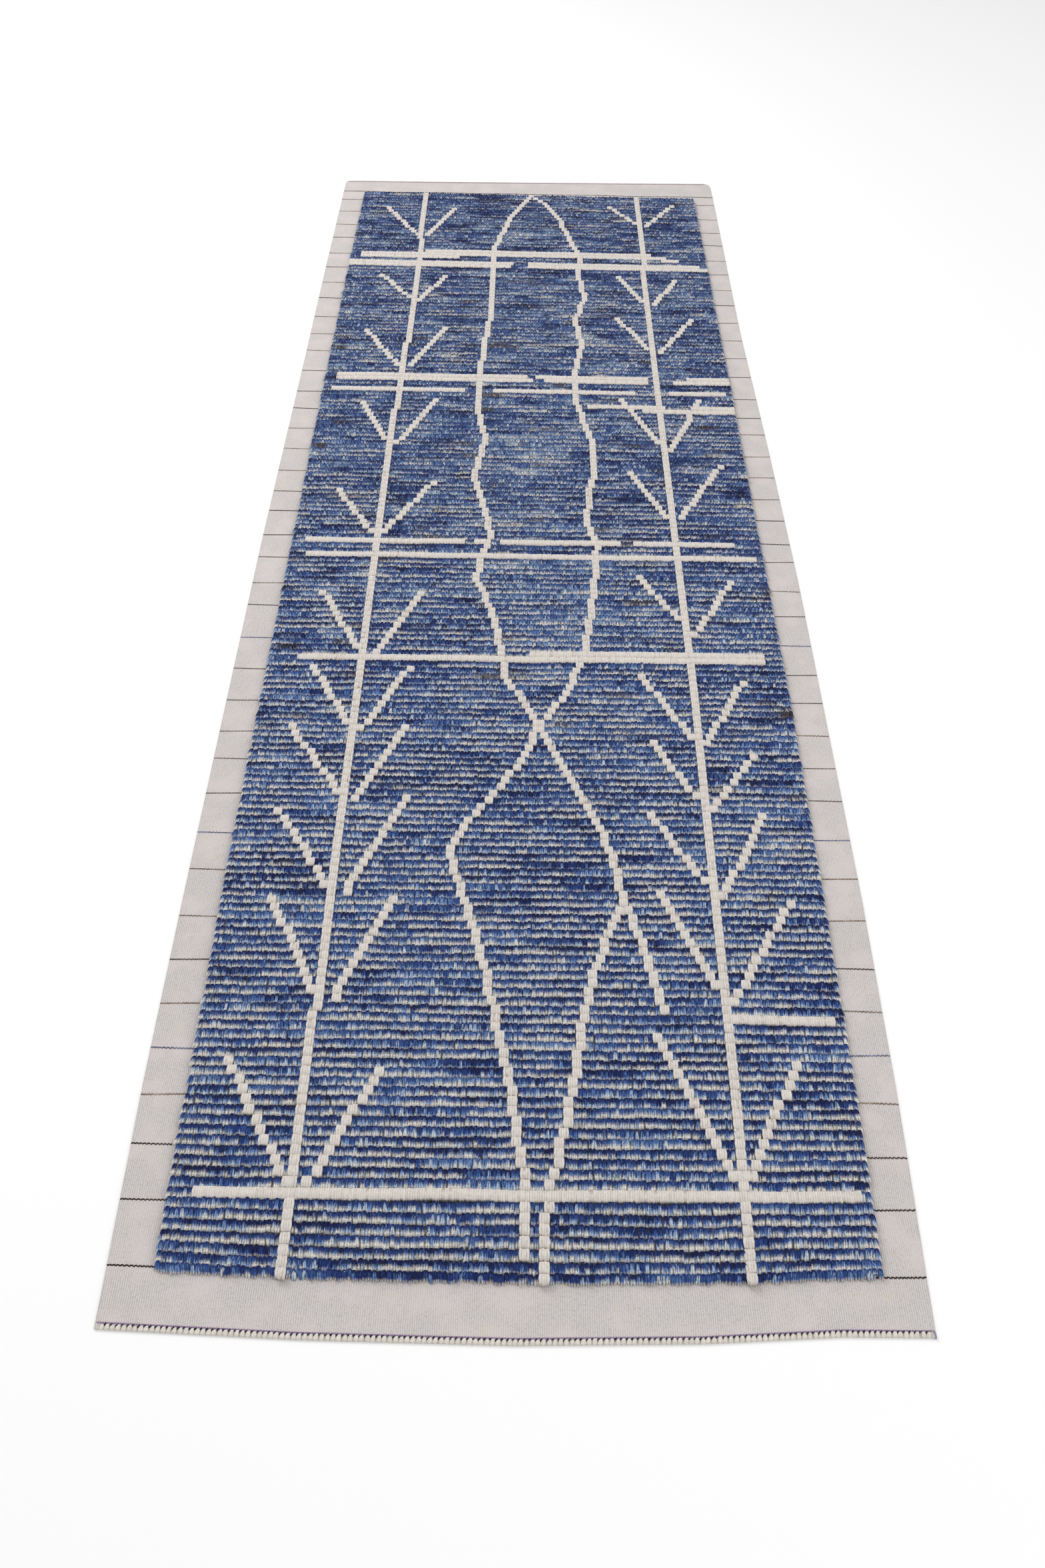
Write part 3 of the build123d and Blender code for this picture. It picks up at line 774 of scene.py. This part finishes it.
def weft(left, right, tint):
    """Path, half width and colours of one yarn between the ends of its rod.

    Its waves, wandering and tone are sums of sines with unrelated lengths, so that no part repeats.
    """
    length = right[0] - left[0]
    near = np.linspace(0, BORDER, BORDER_RINGS)
    start = BORDER + UNDER_PILE_GAP
    xs = np.concatenate([near, np.linspace(start, length - start, UNDER_PILE_RINGS), length - near[::-1]])
    phase, faded = rng.uniform(0, 6.28), rng.uniform(0.0, 0.35)
    wave = xs * 2 * np.pi / WEFT_WAVE + phase + 1.4 * np.sin(xs / 7.0) + 0.8 * np.sin(xs / 17.0)
    from_front = (left[1] + MIDDLE[1]) / RUG_LENGTH
    straight = left[1] + (right[1] - left[1]) * xs / length
    y = straight + along(WEFT_SWING, from_front) * np.sin(wave) + 0.9 * np.sin(xs / 31.0 + phase)
    path = np.stack([left[0] + xs, y, WEFT_HEIGHT + 0.25 * np.cos(wave)], -1)
    tone = 1 + 0.25 * np.sin(xs / 9.0 + phase) + 0.3 * np.sin(xs / 2.3) * np.sin(xs / 6.1 + phase)
    colours = (tint * (1 - faded) + FADED_WEFT * faded) * tone[:, None]
    return path, [along(WEFT_WIDE, from_front)], colours


thread_pieces = []
for name, (slot, tint) in WEFT_COLOURS.items():
    paths, wide, tones = [np.array(each) for each in zip(*[weft(*rod, tint) for rod in rods(name)])]
    yarn = Tubes(paths, wide, WEFT_THICK, WEFT_SIDES, across=(0.0, 1.0, 0.0))
    colours = np.repeat(tones[:, :, None], WEFT_SIDES, 2)
    piece = tube_piece(name.replace("wefts", "yarns"), [yarn], [colours], THREAD_MATERIAL)
    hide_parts(name)
    thread_pieces.append(piece)

# ---------------------------------------------------------------- overcast ends and their locking threads
STITCH_PITCH = 6.06
FRONT_DEPTH, BACK_DEPTH = 6.4, 5.0  # from an end to the inner side of its stitches
STITCH_LEAN = 0.2  # sideways for each millimetre in from the end
STITCH_SPREAD = [0.25, 0.05, 0.35, 0.04]  # how much stitches differ in (place, lean, reach, width)
STITCH_SIDES = 8
EVEN_UP_TO = 3.0  # stitches differ in reach only further in from the end than this
TWIST_RINGS, TWIST_SIDES = 1180, 6
TWIST_REACH, TWIST_HEIGHT = 0.9, 3.15  # middle of the twist, in from the stitches and above the floor
TWIST_ROUND, TWIST_RISE = 0.4, 0.3  # how far its two plies go from that middle
PLY_HALF_WIDE, PLY_HALF_THICK = 0.42, 0.38
CORNER_APART = 0.25  # from the middle to each ply where the twist turns the corner
# Where the front twist goes from its right end, as (across, forward, height) from the end of the edge
CORNER_TURN = [
    (-1.4, 6.9, 3.2), (-0.9, 6.1, 3.2), (-0.7, 4.6, 3.2), (-0.6, 2.8, 3.2), (-0.6, 1.0, 3.1),
    (-0.6, -0.2, 2.5), (-0.6, -0.6, 1.4), (-0.6, 0.2, 0.5),
]
# A float: (across, in from the stitches' inner side, height, half width)
FLOAT = [(-1.1, -2.6, 2.5, 0.35), (-0.3, -1.3, 2.95, 0.85), (0.9, -0.1, 3.05, 0.8), (2.4, 0.6, 2.85, 0.3)]
FLOAT_THICK, FLOAT_SIDES = 0.55, 6
FLOAT_SPREAD = [0.3, 0.25, 0.15]  # how much floats differ in (place across, place inward, size)


def stitch_places(edge, margin):
    """Evenly spaced plan positions along an end, with the way the end runs at each."""
    start, end = edge[0][0] + margin, edge[-1][0] - margin
    count = int((end - start) / STITCH_PITCH)
    x = (start + end - (count - 1) * STITCH_PITCH) / 2 + np.arange(count) * STITCH_PITCH
    slope = (along(edge, x + 1) - along(edge, x - 1)) / 2
    return np.stack([x - MIDDLE[0], along(edge, x) - MIDDLE[1]], -1), np.arctan(slope)


def set_along_end(tubes, places, turn, inward):
    """Moves tubes made as (across, in from the end, height), one for each place, to the rug's frame."""
    local = tubes.points.reshape(len(places), -1, 3)
    x, y = local[..., 0] * inward, local[..., 1] * inward
    cos, sin = np.cos(turn)[:, None], np.sin(turn)[:, None]
    px, py = places[:, :1], places[:, 1:]
    moved = np.stack([px + x * cos - y * sin, py + x * sin + y * cos, local[..., 2]], -1)
    tubes.points = moved.reshape(-1, 3)


def overcast(name, node, edge, margin, inward, depth):
    """Plump stitches wrapped round an end: full at the edge, and rounded like teeth at their inner side."""
    places, turn = stitch_places(edge, margin)
    count = len(places)
    place, lean, longer, wider = (rng.normal(size=(count, 4)) * STITCH_SPREAD).T[..., None]
    # the way round the end, as (distance in from the edge, height, half width, half thickness)
    way = [
        (depth, 2.6, 1.0, 0.25), (depth - 0.6, 2.85, 1.75, 0.45), (depth - 1.8, 2.85, 2.45, 0.6),
        (depth * 0.4, 2.65, 2.95, 0.62), (1.2, 2.4, 3.05, 0.62), (0.65, 1.8, 3.05, 0.6),
        (0.65, 1.15, 3.05, 0.6), (1.4, 0.6, 3.0, 0.58), (depth * 0.5, 0.55, 2.7, 0.5),
        (depth - 0.6, 0.55, 1.9, 0.4), (depth, 0.6, 1.2, 0.25),
    ]
    reach, height, wide, thick = np.array(way).T
    x = place + (STITCH_LEAN + lean) * (reach - depth / 2)
    y = reach + longer * (reach > EVEN_UP_TO)
    yarn = Tubes(np.stack(np.broadcast_arrays(x, y, height), -1), wide * (1 + wider), thick, STITCH_SIDES)
    set_along_end(yarn, places, turn, inward)
    # Painted shade on each stitch's sides, where it meets its neighbours, and a random darker tone ring by
    # ring
    shade = 0.45 * (1 - np.abs(yarn.sine)) + 0.12 * rng.random((count, len(way), 1))
    shade = np.clip(shade, 0, 1)[..., None]
    piece = tube_piece(name, [yarn], [STITCH_YARN * (1 - shade) + STITCH_PAINTED_SHADE_AND_TONE * shade], IVORY_MATERIAL)
    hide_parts(node)
    return piece


def pale_twist(edge, margin, inward, depth, colour, corner_turn):
    """Two plies twisted together along an end, just inside its stitches, and their colours."""
    start, end = edge[0][0] + margin, edge[-1][0] - margin
    xs = np.linspace(start, end, TWIST_RINGS)
    phase = (xs - start) / STITCH_PITCH * 2 * np.pi
    paths = []
    for ply in (0.0, np.pi):
        reach = depth + TWIST_REACH + TWIST_ROUND * np.sin(phase + ply)
        height = TWIST_HEIGHT + TWIST_RISE * np.cos(phase + ply)
        path = np.stack([xs - MIDDLE[0], along(edge, xs) + inward * reach - MIDDLE[1], height], -1)
        end_x = edge[-1][0] - MIDDLE[0] - CORNER_APART * np.cos(ply)
        edge_end = np.array([end_x, edge[-1][1] - MIDDLE[1], 0.0])
        paths.append(np.concatenate([path, np.array(corner_turn).reshape(-1, 3) + edge_end]))
    tubes = Tubes(np.array(paths), PLY_HALF_WIDE, PLY_HALF_THICK, TWIST_SIDES, across=(0.0, 1.0, 0.0))
    tone = 1 + 0.3 * np.sin(xs * 1.9) * rng.random(len(xs))
    tone = np.pad(tone, (0, len(corner_turn)), mode="edge")
    return tubes, np.broadcast_to((colour * tone[:, None])[None, :, None], (*tubes.sine.shape, 3))


def dark_floats(edge, margin, inward, depth, colour):
    """A slanting float in the gap between each two stitches, and their colours."""
    places, turn = stitch_places(edge, margin + STITCH_PITCH / 2)
    count = len(places)
    across, further, larger = (rng.normal(size=(count, 3)) * FLOAT_SPREAD).T
    steps = [(x * inward + across, depth + y + further, z) for x, y, z, _ in FLOAT]
    size = np.array([half_width for *_, half_width in FLOAT])
    tubes = Tubes(path_of(steps), size[None] * (1 + larger[:, None]), FLOAT_THICK, FLOAT_SIDES)
    set_along_end(tubes, places, turn, inward)
    return tubes, np.broadcast_to(colour * (1 + 0.5 * rng.random((count, 1, 1, 1))), (*tubes.sine.shape, 3))


def locking(name, node, edge, margin, inward, depth, upper, under, corner_turn=()):
    """The thread that locks the stitches: a pale twist just inside them and a dark float in each gap."""
    twist = pale_twist(edge, margin, inward, depth, upper, corner_turn)
    floats = dark_floats(edge, margin, inward, depth, under)
    piece = tube_piece(name, *zip(twist, floats), THREAD_MATERIAL)
    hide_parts(node)
    return piece


# Each with its CAD node, edge, margin at the corners, way inward and depth, and threads with two colours
thread_pieces += [
    overcast("overcast_stitches_front", "overcast_front", FRONT_EDGE, 2.5, 1, FRONT_DEPTH),
    overcast("overcast_stitches_back", "overcast_back", BACK_EDGE, 3.0, -1, BACK_DEPTH),
    locking(
        "locking_thread_front", "lock_thread_front", FRONT_EDGE, 2.0, 1, FRONT_DEPTH, LILAC, NAVY,
        CORNER_TURN,
    ),
    locking("locking_thread_back", "lock_thread_back", BACK_EDGE, 3.0, -1, BACK_DEPTH, ROSE, MAUVE),
]

for piece in [ground, *pile, *thread_pieces]:
    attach(piece, "root")

# ---------------------------------------------------------------- studio, in metres
FLOOR_HALF = 40.0  # half its width
FLOOR_DROP = 0.0002  # so that the ground's underside doesn't lie in the same plane
FLOOR_GREY = 0.93

floor_mesh = bpy.data.meshes.new("floor")
floor_corners = [(x * FLOOR_HALF, y * FLOOR_HALF, 0) for x, y in ((-1, -1), (1, -1), (1, 1), (-1, 1))]
floor_mesh.from_pydata(floor_corners, [], [(0, 1, 2, 3)])
floor = bpy.data.objects.new("floor", floor_mesh)
floor.location.z = -FLOOR_DROP
bpy.context.scene.collection.objects.link(floor)
paint = bpy.data.materials.new("pale_floor")
paint.use_nodes = True
paint_shader = paint.node_tree.nodes["Principled BSDF"]
paint_shader.inputs["Base Color"].default_value = (FLOOR_GREY, FLOOR_GREY, FLOOR_GREY, 1)
paint_shader.inputs["Roughness"].default_value = 0.9
floor_mesh.materials.append(paint)
floor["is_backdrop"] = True


def area_light(name, place, size, power):
    """A soft square lamp at a place, turned to face the middle of the rug."""
    lamp = bpy.data.lights.new(name, "AREA")
    lamp.shape, lamp.size, lamp.energy = "SQUARE", size, power
    holder = bpy.data.objects.new(name, lamp)
    holder.location = place
    holder.rotation_euler = (-Vector(place)).to_track_quat("-Z", "Y").to_euler()
    bpy.context.scene.collection.objects.link(holder)
    holder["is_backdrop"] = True


area_light("key", (-2.2, 1.8, 3.4), 2.6, 95)
area_light("fill", (2.6, -2.4, 3.2), 3.0, 48)
world = bpy.data.worlds.new("studio")
world.use_nodes = True
background = world.node_tree.nodes["Background"]
background.inputs["Color"].default_value = (1.0, 1.0, 1.0, 1)
background.inputs["Strength"].default_value = 0.68
bpy.context.scene.world = world
bpy.context.scene.view_settings.view_transform = "Standard"

# The view of a person who stands at the front end and looks down along the rug
lens = bpy.data.cameras.new("camera")
lens.lens, lens.sensor_width = 33.01, 36.0
lens.clip_start, lens.clip_end = 0.05, 100.0
camera = bpy.data.objects.new("camera", lens)
camera.location = (-0.0086, -2.0621, 1.5145)
camera.rotation_euler = (math.radians(43.875), math.radians(-0.575), math.radians(0.37))
bpy.context.scene.collection.objects.link(camera)
bpy.context.scene.camera = camera

low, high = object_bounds()
